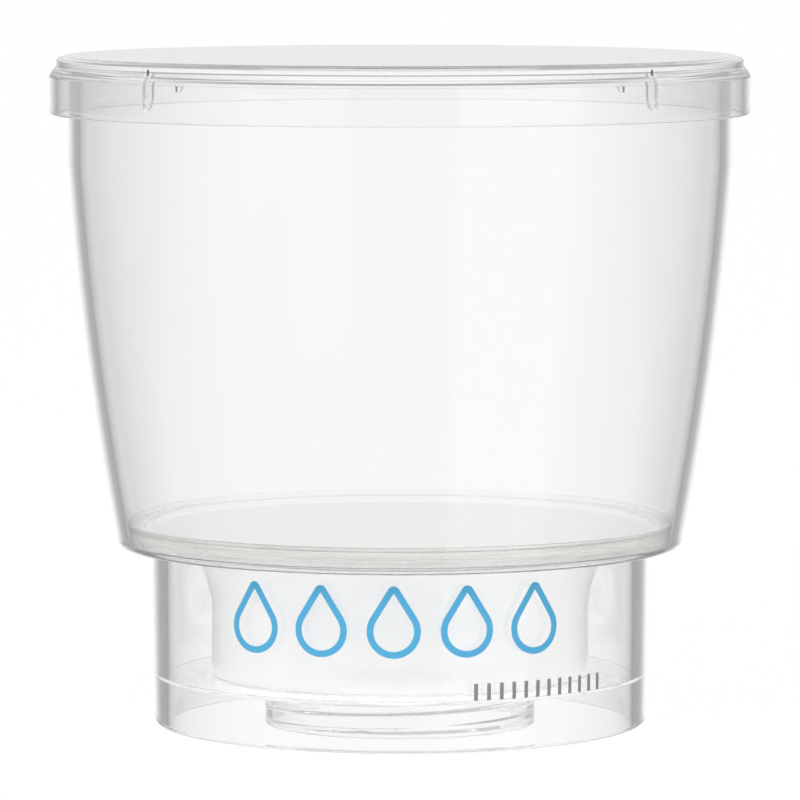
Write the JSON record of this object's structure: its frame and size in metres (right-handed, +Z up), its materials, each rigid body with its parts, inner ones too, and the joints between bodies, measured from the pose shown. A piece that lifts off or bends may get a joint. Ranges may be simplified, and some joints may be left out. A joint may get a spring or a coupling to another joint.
{
  "type": "vacuum filtration unit",
  "caption": "Clear plastic bottle-top vacuum filter: lidded funnel over a flat membrane, on a skirted base with a collecting cup, threaded bottle neck and side hose port.",
  "frame": {"origin": "on the unit's axis, in the plane of the skirt's rim that it stands on", "axes": "+Z up along the axis, from the bottle neck to the lid; +Y along the hose connector, at the back; +X to the right as seen from the front"},
  "size_m": [0.122, 0.122, 0.1165],
  "materials": {
    "clear_plastic": "clear, polished moulding",
    "sealing_ring": "milky, with fine streaks round it",
    "membrane": "matt white microporous sheet",
    "seal_rubber": "translucent silicone",
    "connector_plastic": "natural, slightly cloudy",
    "cotton": "pressed white fibre"
  },
  "bodies": {
    "unit": {"funnel": "clear_plastic", "sealing_ring": "sealing_ring", "membrane": "membrane", "membrane_support": "clear_plastic", "base": "clear_plastic", "neck_seal": "seal_rubber", "hose_connector": "connector_plastic", "port_plug": "cotton"},
    "lid": {"lid": "clear_plastic"}
  },
  "joints": [
    {"name": "lid_lift", "type": "slide", "parent": "unit", "child": "lid", "axis": [0, 0, 1], "range_m": [0, 0.06]}
  ]
}
